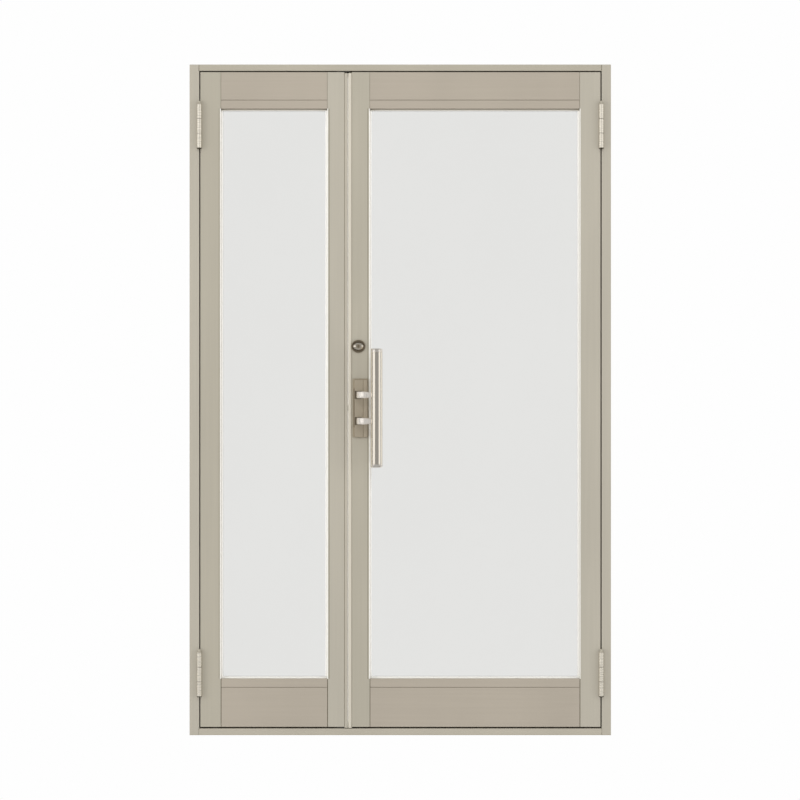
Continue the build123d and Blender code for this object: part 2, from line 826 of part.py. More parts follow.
with BuildPart() as cylinder_body:
    lock_bore(cylinder_face_y, cylinder_radius, cylinder_thickness, Mode.ADD)
    lock_bore(cylinder_face_y, plug_radius + pin_clearance, cylinder_thickness)
keep(cylinder_body, "cylinder_body")

keyhole_width, keyhole_height, keyhole_depth = keyhole
with BuildPart() as key_plug:
    lock_bore(cylinder_face_y, plug_radius, plug_back_y - turn_gap - cylinder_face_y, Mode.ADD)
    block(
        (lock_axis_x - keyhole_width / 2, cylinder_face_y, deadlock_height - keyhole_height / 2),
        (
            lock_axis_x + keyhole_width / 2, cylinder_face_y + keyhole_depth,
            deadlock_height + keyhole_height / 2,
        ),
        Mode.SUBTRACT,
    )
keep(key_plug, "key_plug")

with BuildPart() as thumbturn_rose:
    block(
        (lock_axis_x - rose_size / 2, leaf_back_y, deadlock_height - rose_size / 2),
        (
            lock_axis_x + rose_size / 2, leaf_back_y + rose_thickness,
            deadlock_height + rose_size / 2,
        ),
    )
    lock_bore(leaf_back_y, spindle_radius + spindle_play, rose_thickness)
keep(thumbturn_rose, "thumbturn_rose")

# Thumbturn: a bow on the rose, its spindle through the stile and the cam that throws the deadbolt
turn_y = leaf_back_y + rose_thickness + turn_gap
spindle_start_y = plug_back_y + turn_gap
with BuildPart() as thumbturn:
    lock_bore(spindle_start_y, spindle_radius, turn_y - spindle_start_y, Mode.ADD)
    block(
        (lock_axis_x - cam_width / 2, lock_y - cam_thickness / 2, deadlock_height),
        (lock_axis_x + cam_width / 2, lock_y + cam_thickness / 2, deadlock_height + cam_reach),
    )
    with BuildSketch(Plane.XZ.offset(-turn_y)):
        with Locations((lock_axis_x, deadlock_height)):
            SlotOverall(turn_length, turn_width, rotation=90)
    extrude(amount=-turn_depth)
keep(thumbturn, "thumbturn")

# Strikes in the side leaf's edge
for name, height, width, length in (
    ("latch_strike", latch_height, latch_width, latch_bolt_height),
    ("deadbolt_strike", deadlock_height, deadbolt_width, deadbolt_height),
):
    with BuildPart() as strike:
        block(
            (side_edge_x, lock_y - faceplate_width / 2, height - strike_length / 2),
            (
                side_edge_x - faceplate_thickness, lock_y + faceplate_width / 2,
                height + strike_length / 2,
            ),
        )
        edge_cut(side_edge_x, -1, faceplate_thickness, height, length + 2, width + 2)
    keep(strike, name)

# Flush bolts of the side leaf: a rod with a finger slide in a plate at the leaf's edge
knob_low_z = flush_plate_z - (flush_knob_length + flush_throw) / 2
knob_way = flush_knob_length + flush_throw + 2 * flush_knob_play
with BuildPart() as flush_bolt_plates:
    block(
        (side_edge_x, lock_y - faceplate_width / 2, flush_plate_z - flush_plate_length / 2),
        (
            side_edge_x - faceplate_thickness, lock_y + faceplate_width / 2,
            flush_plate_z + flush_plate_length / 2,
        ),
    )
    edge_cut(
        side_edge_x, -1, faceplate_thickness, flush_plate_z,
        knob_way, flush_knob_width + 2 * flush_knob_play,
    )
    mirror(about=mid_height_plane)
keep(flush_bolt_plates, "flush_bolt_plates")

rod_half = flush_rod_size / 2
knob_face_x = side_edge_x - flush_knob_play
with BuildPart() as top_flush_bolt:
    block(
        (flush_rod_x - rod_half, lock_y - rod_half, knob_low_z - flush_rod_tail),
        (flush_rod_x + rod_half, lock_y + rod_half, leaf_top - flush_rod_set_back),
    )
    chamfer(top_flush_bolt.edges().group_by(Axis.Z)[-1], 1)
    block(
        (flush_rod_x, lock_y - flush_knob_width / 2, knob_low_z),
        (knob_face_x, lock_y + flush_knob_width / 2, knob_low_z + flush_knob_length),
    )
keep(top_flush_bolt, "top_flush_bolt")

with BuildPart() as bottom_flush_bolt:
    mirror(top_flush_bolt.part, about=mid_height_plane)
keep(bottom_flush_bolt, "bottom_flush_bolt")

keeper_hole = rod_half + keeper_play
with BuildPart() as flush_bolt_keepers:
    for low_z in (sill_face, head_under - keeper_thickness):
        high_z = low_z + keeper_thickness
        block(
            (flush_rod_x - keeper_length / 2, lock_y - faceplate_width / 2, low_z),
            (flush_rod_x + keeper_length / 2, lock_y + faceplate_width / 2, high_z),
        )
        block(
            (flush_rod_x - keeper_hole, lock_y - keeper_hole, low_z),
            (flush_rod_x + keeper_hole, lock_y + keeper_hole, high_z), Mode.SUBTRACT,
        )
keep(flush_bolt_keepers, "flush_bolt_keepers")
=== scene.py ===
import math

import bmesh
import bpy
from bpy.props import FloatProperty, FloatVectorProperty, IntProperty, PointerProperty
from mathutils import Matrix, Vector


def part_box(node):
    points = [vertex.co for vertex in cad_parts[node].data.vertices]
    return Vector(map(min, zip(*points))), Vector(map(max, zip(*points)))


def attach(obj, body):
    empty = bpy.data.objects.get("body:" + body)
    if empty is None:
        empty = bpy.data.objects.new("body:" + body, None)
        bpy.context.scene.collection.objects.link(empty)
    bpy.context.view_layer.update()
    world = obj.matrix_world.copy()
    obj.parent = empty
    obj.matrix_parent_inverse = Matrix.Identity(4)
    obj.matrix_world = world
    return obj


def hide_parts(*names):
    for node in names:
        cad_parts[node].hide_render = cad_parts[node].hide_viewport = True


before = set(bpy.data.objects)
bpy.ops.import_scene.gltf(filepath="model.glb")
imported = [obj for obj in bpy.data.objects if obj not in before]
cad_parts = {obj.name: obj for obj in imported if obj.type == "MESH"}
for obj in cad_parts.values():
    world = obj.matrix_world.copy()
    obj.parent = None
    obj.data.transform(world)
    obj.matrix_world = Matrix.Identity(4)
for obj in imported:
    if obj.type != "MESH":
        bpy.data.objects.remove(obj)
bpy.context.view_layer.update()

bl_info = {
    "name": "Glazed Entrance Door",
    "version": (1, 0, 0),
    "blender": (4, 5, 0),
    "location": "View3D > Sidebar > Door",
    "description": "Dresses a glazed double entrance door with finishes, fittings and a stage",
    "category": "Object",
}

# The door stands upright: X runs to the right seen from outside, Y into the building, Z up.
MM = 0.001
LEAVES = ("main", "side")
LEAF_FACE = -35 * MM
ARM_OFFSET = 39.25 * MM
PIN_BORE = 3.1 * MM
IMAGE_WIDTH = 800
SENSOR_WIDTH = 36
# Each painted profile: its body and its coat. Rails run level, the other profiles upright.
PROFILES = {
    "left_jamb": ("frame", "jamb_coat"),
    "right_jamb": ("frame", "jamb_coat"),
    "head": ("frame", "head_coat"),
    "sill": ("frame", "sill_coat"),
    "main_hinge_stile": ("main_leaf", "jamb_coat"),
    "main_meeting_stile": ("main_leaf", "stile_coat"),
    "main_top_rail": ("main_leaf", "rail_coat"),
    "main_bottom_rail": ("main_leaf", "rail_coat"),
    "main_glazing_beads": ("main_leaf", "rail_coat"),
    "side_hinge_stile": ("side_leaf", "stile_coat"),
    "side_meeting_stile": ("side_leaf", "jamb_coat"),
    "side_top_rail": ("side_leaf", "rail_coat"),
    "side_bottom_rail": ("side_leaf", "rail_coat"),
    "side_glazing_beads": ("side_leaf", "rail_coat"),
}


def tint(name, description, default):
    """A colour that a user may change."""
    return FloatVectorProperty(
        name=name, description=description, default=default,
        subtype="COLOR", size=3, min=0, max=1,
    )


def extent(name, description, default, least=0):
    """A length that a user may change."""
    return FloatProperty(
        name=name, description=description, default=default, unit="LENGTH", min=least,
    )


class DoorColours(bpy.types.PropertyGroup):
    """Colours of the door's finishes."""

    paint: tint("Profile paint", "Powder coat on the frame and the leaves", (0.427, 0.393, 0.317))
    # The main meeting strip is drawn in this colour, far paler than the profiles' paint; the side
    # strip uses the paint a tenth lighter.
    strip: tint("Meeting strips", "Paler coat on the two meeting strips", (0.62, 0.575, 0.48))
    gasket: tint("Glazing gasket", "Off-white rubber round the glass", (1.0, 0.985, 0.94))
    dark_rubber: tint("Closing gasket", "Dark rubber in the frame's stops", (0.090, 0.070, 0.036))
    # This tint darkens painted parts in their corners by how occluded they are: partly dust,
    # partly painted shade.
    dust_and_shade: tint("Soil", "Tint of the dust in the corners of painted parts", (0.68, 0.63, 0.52))
    glass: tint("Glass tint", "What a pane lets through", (0.800, 0.800, 0.785))
    satin: tint("Satin metal", "Handle arms and lock fittings", (0.97, 0.91, 0.83))
    plate: tint(
        "Handle base", "Bronze-toned satin metal of the handle bases", (0.44, 0.378, 0.283),
    )
    plate_edge: tint("Handle base edge", "Darker metal of the back plates", (0.40, 0.335, 0.245))
    bright: tint("Polished metal", "Handle bars", (0.93, 0.86, 0.75))
    hinge: tint("Hinge metal", "Barrels and plates of the hinges", (0.88, 0.82, 0.70))
    steel: tint("Steel", "Strikes, faceplates, bolts and screws", (0.55, 0.55, 0.54))
    bronze: tint("Lock collar", "Dark ring round the lock cylinder", (0.165, 0.132, 0.090))
    cylinder: tint("Lock face", "Brown-toned metal round the keyhole", (0.95, 0.87, 0.74))
    # A grey strip along the top of each pane: painted shadow under the top bead.
    packing: tint("Packing", "Grey packing strip over the panes", (0.46, 0.42, 0.35))
    # Dark lines in the profiles' joints and a little way out from the gasket lips: painted shade
    # standing in for the shadow in joints and grooves.
    sealant: tint("Sealant", "Dark sealant in the profiles' joints", (0.10, 0.085, 0.055))
    dark_plastic: tint("Dark plastic", "Hinge end caps and setting blocks", (0.045, 0.035, 0.022))
    pale_plastic: tint("Pale plastic", "End caps of the stiles", (0.52, 0.50, 0.46))


class DoorSizes(bpy.types.PropertyGroup):
    """Sizes of what is added to the construction."""

    edge_round: extent("Profile edges", "Rounding of the painted profiles' edges", 0.45 * MM)
    joint_chamfer: extent(
        "Joint chamfer", "Chamfer where a level profile butts against another", 2.2 * MM,
    )
    fine_round: extent("Fitting edges", "Rounding of the small fittings' edges", 0.4 * MM)
    # Pale rubber lips on the stiles beside each pane; they also stand in for the lit edges of the
    # reveal, a painted highlight.
    lip_and_highlight: extent(
        "Gasket lip", "Width of the gaskets' lips on the stiles", 2.0 * MM, least=0.0002,
    )
    # Height of the grey strip that paints the shadow under each pane's top bead.
    painted_shadow_height: extent(
        "Packing height", "Height of the packing strip over each pane", 4.5 * MM, least=0.0005,
    )
    hinge_length: extent("Hinge length", "Length of each hinge's barrel", 132 * MM, least=0.05)
    barrel_radius: extent(
        "Barrel radius", "Outer radius of the hinge knuckles", 6.5 * MM, least=0.002,
    )
    cap_radius: extent(
        "Hinge cap radius", "Radius of the caps on the barrels' ends", 7.3 * MM, least=0.002,
    )
    cap_thickness: extent("Hinge cap thickness", "Thickness of those caps", 2.2 * MM, least=0.0005)
    washer: extent(
        "Hinge washer", "Thickness of the washers between the knuckles", 0.5 * MM, least=0.0001,
    )
    screw_radius: extent(
        "Screw head radius", "Radius of the countersunk screw heads", 4.2 * MM, least=0.001,
    )
    screws_per_plate: IntProperty(
        name="Hinge screws", description="Screws in each hinge plate", min=2, max=5, default=3,
    )
    arm_round: extent("Arm edges", "Rounding of the handle arms' edges", 2.6 * MM)


class DoorView(bpy.types.PropertyGroup):
    """Camera and light."""

    scale_at_face: extent(
        "Image scale", "Size of one of 800 pixels on the door's outer face",
        3.009 * MM, least=0.0001,
    )
    lens: FloatProperty(
        name="Lens", description="Focal length in millimetres on a 36 mm sensor",
        min=10, default=100,
    )
    aim_height: extent(
        "Camera height", "Height of the camera over the sill's underside", 1008.5 * MM,
    )
    key_power: FloatProperty(
        name="Left light", description="Power of the large soft light on the left",
        unit="POWER", min=0, default=120,
    )
    fill_power: FloatProperty(
        name="Fill lights", description="Power of each light on the right, above and behind",
        unit="POWER", min=0, default=80,
    )
    ambient: FloatProperty(
        name="Ambient light", description="Strength of the white surroundings as a light",
        min=0, default=0.68,
    )
    mirrored: FloatProperty(
        name="Mirrored surroundings", description="How bright glossy surfaces mirror them",
        min=0, default=0.30,
    )


# Node trees


def node_tree(name):
    """A new material with its tree, its shader and the object's own coordinates in metres."""
    material = bpy.data.materials.new(name)
    material.use_nodes = True
    tree = material.node_tree
    coordinates = tree.nodes.new("ShaderNodeTexCoord")
    return material, tree, tree.nodes["Principled BSDF"], coordinates.outputs["Object"]


def noise(tree, vector, scale, detail=3.0, stretch=(1, 1, 1)):
    """Noise of a scale per metre, stretched along the axes."""
    mapping = tree.nodes.new("ShaderNodeMapping")
    mapping.inputs["Scale"].default_value = stretch
    tree.links.new(vector, mapping.inputs["Vector"])
    texture = tree.nodes.new("ShaderNodeTexNoise")
    texture.inputs["Scale"].default_value = scale
    texture.inputs["Detail"].default_value = detail
    tree.links.new(mapping.outputs["Vector"], texture.inputs["Vector"])
    return texture.outputs["Fac"]


def spread(tree, value, low, high, start=0.35, end=0.65):
    """The value's middle range drawn out from low to high."""
    node = tree.nodes.new("ShaderNodeMapRange")
    numbers = {"From Min": start, "From Max": end, "To Min": low, "To Max": high}
    for name, number in numbers.items():
        node.inputs[name].default_value = number
    tree.links.new(value, node.inputs["Value"])
    return node.outputs["Result"]


def shaded(tree, colour, factor):
    """A colour, or a colour socket, multiplied by a factor socket."""
    node = tree.nodes.new("ShaderNodeMix")
    node.data_type = "RGBA"
    node.blend_type = "MULTIPLY"
    node.inputs["Factor"].default_value = 1
    if isinstance(colour, bpy.types.NodeSocket):
        tree.links.new(colour, node.inputs["A"])
    else:
        node.inputs["A"].default_value = (*colour, 1)
    tree.links.new(factor, node.inputs["B"])
    return node.outputs["Result"]


def corner_dust_and_shade(tree, colour, distance, dust_and_shade):
    """A colour multiplied by a tint where ambient occlusion finds corners of the form: partly
    dust, partly painted shade.
    """
    shade = tree.nodes.new("ShaderNodeAmbientOcclusion")
    shade.inputs["Distance"].default_value = distance
    shade.samples = 4
    node = tree.nodes.new("ShaderNodeMix")
    node.data_type = "RGBA"
    node.inputs["A"].default_value = (*dust_and_shade, 1)
    node.inputs["B"].default_value = (1, 1, 1, 1)
    # The occlusion drives the darkening, so it is painted shade as well as dust.
    tree.links.new(spread(tree, shade.outputs["AO"], 0, 1, 0.25, 0.9), node.inputs["Factor"])
    return shaded(tree, colour, node.outputs["Result"])


def bump(tree, shader, height, strength, distance):
    """Small relief on the shader's normal."""
    node = tree.nodes.new("ShaderNodeBump")
    node.inputs["Strength"].default_value = strength
    node.inputs["Distance"].default_value = distance
    tree.links.new(height, node.inputs["Height"])
    tree.links.new(node.outputs["Normal"], shader.inputs["Normal"])


# Finishes


def paint_finish(name, colour, level=False, tone=(1, 1, 1)):
    """Satin powder coat: fine orange peel, faint draw lines and clouds, and darkening in the
    corners that is partly dust and partly painted shade.
    """
    material, tree, shader, place = node_tree(name)
    clouds = spread(tree, noise(tree, place, 5, 2, (1, 1, 0.35)), 0.975, 1.025)
    along = (0.02, 1, 1) if level else (1, 1, 0.02)
    streaks = spread(tree, noise(tree, place, 160, 2, along), 0.985, 1.012)
    toned = [channel * share for channel, share in zip(colour, tone)]
    base = shaded(tree, shaded(tree, toned, clouds), streaks)
    dust_and_shade = bpy.context.scene.door_colours.dust_and_shade
    # Darkening in the corners by ambient occlusion: partly dust, partly painted shade.
    tree.links.new(corner_dust_and_shade(tree, base, 5 * MM, dust_and_shade), shader.inputs["Base Color"])
    rough = spread(tree, noise(tree, place, 90, 3), 0.40, 0.52)
    tree.links.new(rough, shader.inputs["Roughness"])
    shader.inputs["Specular IOR Level"].default_value = 0.4
    bump(tree, shader, noise(tree, place, 2200, 2), 0.25, 0.05 * MM)
    return material


def rubber_finish(name, colour, dust_and_shade=0.7):
    """Matt rubber with faint mould marks, and darkening in its corners that is partly dust and
    partly painted shade.
    """
    material, tree, shader, place = node_tree(name)
    mottle = spread(tree, noise(tree, place, 300, 3), 0.95, 1.03)
    # Darkening in the corners by ambient occlusion: partly dust, partly painted shade.
    base = corner_dust_and_shade(tree, shaded(tree, colour, mottle), 3 * MM, (dust_and_shade, dust_and_shade, dust_and_shade * 0.95))
    tree.links.new(base, shader.inputs["Base Color"])
    tree.links.new(spread(tree, noise(tree, place, 500, 3), 0.6, 0.75), shader.inputs["Roughness"])
    shader.inputs["Specular IOR Level"].default_value = 0.3
    bump(tree, shader, noise(tree, place, 1800, 3), 0.3, 0.06 * MM)
    return material


def metal_finish(name, colour, rough, stretch, metallic=1.0, grain=900, depth=0.006):
    """Brushed or turned metal; the stretch runs the grain along one axis."""
    material, tree, shader, place = node_tree(name)
    lines = noise(tree, place, grain, 4, stretch)
    base = shaded(tree, colour, spread(tree, lines, 0.965, 1.025))
    # Darkening in the metal's corners by ambient occlusion, with a fixed tint: partly dust, partly
    # painted shade.
    base = corner_dust_and_shade(tree, base, 2.5 * MM, (0.70, 0.65, 0.57))
    tree.links.new(base, shader.inputs["Base Color"])
    tree.links.new(spread(tree, lines, rough * 0.85, rough * 1.2), shader.inputs["Roughness"])
    shader.inputs["Metallic"].default_value = metallic
    bump(tree, shader, lines, 0.2, depth * MM)
    return material


def glass_finish(name, colour):
    """Clear float glass with a slight ripple and a faint film of dust."""
    material, tree, shader, place = node_tree(name)
    film = spread(tree, noise(tree, place, 2.2, 3), 0.99, 1.0)
    tree.links.new(shaded(tree, colour, film), shader.inputs["Base Color"])
    shader.inputs["Roughness"].default_value = 0
    shader.inputs["Transmission Weight"].default_value = 1
    shader.inputs["IOR"].default_value = 1.45
    bump(tree, shader, noise(tree, place, 1.6, 1), 0.04, 0.2 * MM)
    return material


def finish(name):
    """The named finish, made the first time it is asked for."""
    if name in bpy.data.materials:
        return bpy.data.materials[name]
    colours = bpy.context.scene.door_colours
    upright, level, even = (1, 1, 0.02), (0.02, 0.02, 1), (1, 1, 1)
    finishes = {
        # The coats are one paint at a level set per coat: jamb_coat and sill_coat a little
        # lighter, rail_coat a little darker and pinker.
        "jamb_coat": (paint_finish, colours.paint, False, (1.06, 1.065, 1.09)),
        "head_coat": (paint_finish, colours.paint, True),
        "sill_coat": (paint_finish, colours.paint, True, (1.06, 1.06, 1.07)),
        "stile_coat": (paint_finish, colours.paint),
        "rail_coat": (paint_finish, colours.paint, True, (0.985, 0.945, 0.955)),
        # The main strip in its paler colour, the side strip in the paint drawn a tenth lighter.
        "strip_coat": (paint_finish, colours.strip),
        "side_strip_coat": (paint_finish, colours.paint, False, (1.10, 1.10, 1.12)),
        "pale_rubber": (rubber_finish, colours.gasket, 1.0),
        "dark_rubber": (rubber_finish, colours.dark_rubber),
        "float_glass": (glass_finish, colours.glass),
        "satin_nickel": (metal_finish, colours.satin, 0.30, upright, 0.65),
        "bronze_plate": (metal_finish, colours.plate, 0.42, upright, 0.25),
        "bronze_edge": (metal_finish, colours.plate_edge, 0.45, upright, 0.25),
        "polished_bar": (metal_finish, colours.bright, 0.12, upright, 1, 500, 0.004),
        "cap_metal": (metal_finish, colours.satin, 0.25, even, 0.9),
        "hinge_satin": (metal_finish, colours.hinge, 0.27, level, 0.5, 2500),
        "brushed_steel": (metal_finish, colours.steel, 0.32, upright, 0.9),
        "lock_nickel": (metal_finish, colours.cylinder, 0.25, even),
        "plug_bronze": (metal_finish, colours.plate_edge, 0.35, even, 0.7),
        # The grey strip over each pane: painted shadow under the top bead.
        "packing_strip": (rubber_finish, colours.packing),
        # Dark lines in joints and beside the lips: painted shade.
        "sealant_line": (rubber_finish, colours.sealant, 1.0),
        "dark_bronze": (metal_finish, colours.bronze, 0.4, even, 0.5),
        "black_plastic": (rubber_finish, colours.dark_plastic),
        "grey_plastic": (rubber_finish, colours.pale_plastic),
    }
    maker, *values = finishes[name]
    return maker(name, *values)


# Mesh helpers


def placed(name, data):
    """A new object with its data, in the scene."""
    item = bpy.data.objects.new(name, data)
    bpy.context.scene.collection.objects.link(item)
    return item


def mesh_from(name, bm):
    """A mesh from a finished bmesh, which is freed."""
    mesh = bpy.data.meshes.new(name)
    bm.to_mesh(mesh)
    bm.free()
    return mesh


def wear(node, finish_name):
    """Gives a CAD node, whose shape is right, its finish."""
    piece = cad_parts[node]
    piece.data.materials.clear()
    piece.data.materials.append(finish(finish_name))


def piece_from(name, bm, body, finish_name, smooth_angle=35):
    """An object from a finished bmesh, riding on a body."""
    bm.normal_update()
    mesh = mesh_from(name, bm)
    mesh.shade_smooth()
    mesh.set_sharp_from_angle(angle=math.radians(smooth_angle))
    mesh.materials.append(finish(finish_name))
    piece = placed(name, mesh)
    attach(piece, body)
    return piece


def rounded_copy(node, body, finish_name, edge, joint=0):
    """A copy of a CAD node with its edges rounded, which stands for the node. With a joint
    width, the outer edges of its two ends along X get a chamfer of that width instead."""
    bm = bmesh.new()
    bm.from_mesh(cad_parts[node].data)
    bmesh.ops.remove_doubles(bm, verts=bm.verts, dist=0.002 * MM)
    bmesh.ops.dissolve_limit(
        bm, angle_limit=math.radians(0.5), verts=bm.verts, edges=bm.edges,
    )
    widest = max(edge, joint)
    weights = bm.edges.layers.float.new("bevel_weight_edge")
    low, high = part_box(node)
    for candidate in bm.edges:
        if len(candidate.link_faces) != 2 or candidate.calc_face_angle(0) < math.radians(40):
            continue
        share = edge / widest
        ends = [vertex.co for vertex in candidate.verts]
        if joint and any(all(abs(end.x - x) < 0.01 * MM for end in ends) for x in (low.x, high.x)):
            outside = any(
                all(abs(end.y - y) < 0.01 * MM for end in ends) for y in (low.y, high.y)
            )
            share = 1 if outside else 0
        candidate[weights] = share
    piece = piece_from(f"{node}_finish", bm, body, finish_name)
    bevel = piece.modifiers.new("edges", "BEVEL")
    bevel.width = widest
    bevel.segments = 2
    bevel.limit_method = "WEIGHT"
    bevel.use_clamp_overlap = True
    normals = piece.modifiers.new("normals", "WEIGHTED_NORMAL")
    normals.keep_sharp = False
    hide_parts(node)
    return piece


def carved(piece, boxes):
    """Cuts boxes, each given by its low and high corner, out of a piece for good."""
    bm = bmesh.new()
    for low, high in boxes:
        rounded_box(bm, low, high, 0)
    cutter = placed("cutter", mesh_from("cutter", bm))
    cut = piece.modifiers.new("cut", "BOOLEAN")
    cut.object = cutter
    cut.operation = "DIFFERENCE"
    cut.solver = "EXACT"
    evaluated = piece.evaluated_get(bpy.context.evaluated_depsgraph_get())
    result = bpy.data.meshes.new_from_object(evaluated)
    piece.modifiers.clear()
    piece.data = result
    bpy.data.objects.remove(cutter)


def hexed(radius, angle):
    """The radius of a hexagon at an angle, where radius is half its width across flats."""
    return radius / math.cos((angle % (math.pi / 3)) - math.pi / 6)


def joined(bm, lower, upper):
    """Adds the faces between two rings. A ring of one vertex closes the form to a point."""
    faces = []
    for step in range(max(len(lower), len(upper))):
        places = ((lower, step), (lower, step + 1), (upper, step + 1), (upper, step))
        corners = dict.fromkeys(ring[index % len(ring)] for ring, index in places)
        faces.append(bm.faces.new(list(corners)))
    return faces


def turn(bm, profile, place, segments=64, socket_from=None):
    """Adds a turned form to the mesh: (radius, height) pairs about the place's own Z axis.
    The rings from number socket_from on follow a hexagon. A radius of 0 closes the form."""
    rings = []
    for index, (radius, height) in enumerate(profile):
        if radius == 0:
            rings.append([bm.verts.new(place @ Vector((0, 0, height)))])
            continue
        ring = []
        for step in range(segments):
            angle = 2 * math.pi * step / segments
            reach = radius
            if socket_from is not None and index >= socket_from:
                reach = hexed(radius, angle)
            point = Vector((reach * math.cos(angle), reach * math.sin(angle), height))
            ring.append(bm.verts.new(place @ point))
        rings.append(ring)
    for lower, upper in zip(rings, rings[1:]):
        joined(bm, lower, upper)


def upright(x, y, z):
    """A place whose own Z axis points up."""
    return Matrix.Translation((x, y, z))


def facing(point, direction):
    """A place whose own Z axis points along a direction."""
    turned_to = Vector(direction).to_track_quat("Z", "Y").to_matrix().to_4x4()
    return Matrix.Translation(point) @ turned_to


def rounded_box(bm, low, high, edge):
    """Adds a box with rounded edges to the mesh."""
    low, high = Vector(low), Vector(high)
    made = bmesh.ops.create_cube(bm, size=1)["verts"]
    size, middle = high - low, (low + high) / 2
    for vertex in made:
        vertex.co = Vector(a * b for a, b in zip(vertex.co, size)) + middle
    edges = list({e for v in made for e in v.link_edges})
    if edge:
        bmesh.ops.bevel(
            bm, geom=edges, offset=edge, segments=2, profile=0.5, affect="EDGES",
        )


def prism(bm, outline, foot, top):
    """Adds an upright prism over an outline of (x, y) points to the mesh."""
    rings = [[bm.verts.new((x, y, z)) for x, y in outline] for z in (foot, top)]
    faces = [bm.faces.new(ring) for ring in rings] + joined(bm, *rings)
    bmesh.ops.recalc_face_normals(bm, faces=faces)


def arm_heights(base_low, base_high):
    """The heights of the two arms over a base's middle."""
    middle = (base_low.z + base_high.z) / 2
    return middle - ARM_OFFSET, middle + ARM_OFFSET


def screw_head(bm, point, outward, radius):
    """Adds a countersunk screw head with a hexagon socket, flush with the face it sits in."""
    socket = radius * 0.42
    rise = 0.08 * MM
    profile = (
        (radius, -radius * 0.3), (radius, 0), (radius - 0.15 * MM, rise),
        (socket * 1.25, rise), (socket, rise), (socket, -radius * 0.35), (0, -radius * 0.4),
    )
    turn(bm, profile, facing(point, outward), 24, socket_from=4)


# Operators, one for each group of like pieces


class DOOR_OT_profiles(bpy.types.Operator):
    """Coats the frame's and the leaves' profiles and rounds their edges"""

    bl_idname = "door.profiles"
    bl_label = "Profiles"

    def execute(self, context):
        sizes = context.scene.door_sizes
        for node, (body, coat) in PROFILES.items():
            butts = node in ("head", "sill") or node.endswith("rail")
            joint = sizes.joint_chamfer if butts else 0
            rounded_copy(node, body, coat, sizes.edge_round, joint)
        for node in ("frame_corner_blocks", "main_rail_joint_blocks", "side_rail_joint_blocks"):
            wear(node, "brushed_steel")
        for leaf in LEAVES:
            wear(f"{leaf}_stile_caps", "grey_plastic")
        return {"FINISHED"}


class DOOR_OT_glazing(bpy.types.Operator):
    """Finishes the panes, their gaskets and the blocks that they stand on"""

    bl_idname = "door.glazing"
    bl_label = "Glazing"

    def execute(self, context):
        edge = context.scene.door_sizes.fine_round
        for leaf in LEAVES:
            wear(f"{leaf}_glass", "float_glass")
            rounded_copy(f"{leaf}_gaskets", f"{leaf}_leaf", "pale_rubber", edge)
            wear(f"{leaf}_setting_blocks", "black_plastic")
        return {"FINISHED"}


class DOOR_OT_seals(bpy.types.Operator):
    """Finishes the meeting strips, their seal and the frame's closing gasket"""

    bl_idname = "door.seals"
    bl_label = "Strips and seals"

    def execute(self, context):
        edge = context.scene.door_sizes.fine_round
        for leaf, coat in (("main", "strip_coat"), ("side", "side_strip_coat")):
            rounded_copy(f"{leaf}_meeting_strip", f"{leaf}_leaf", coat, edge)
        wear("meeting_seal", "pale_rubber")
        wear("stop_gasket", "dark_rubber")
        return {"FINISHED"}


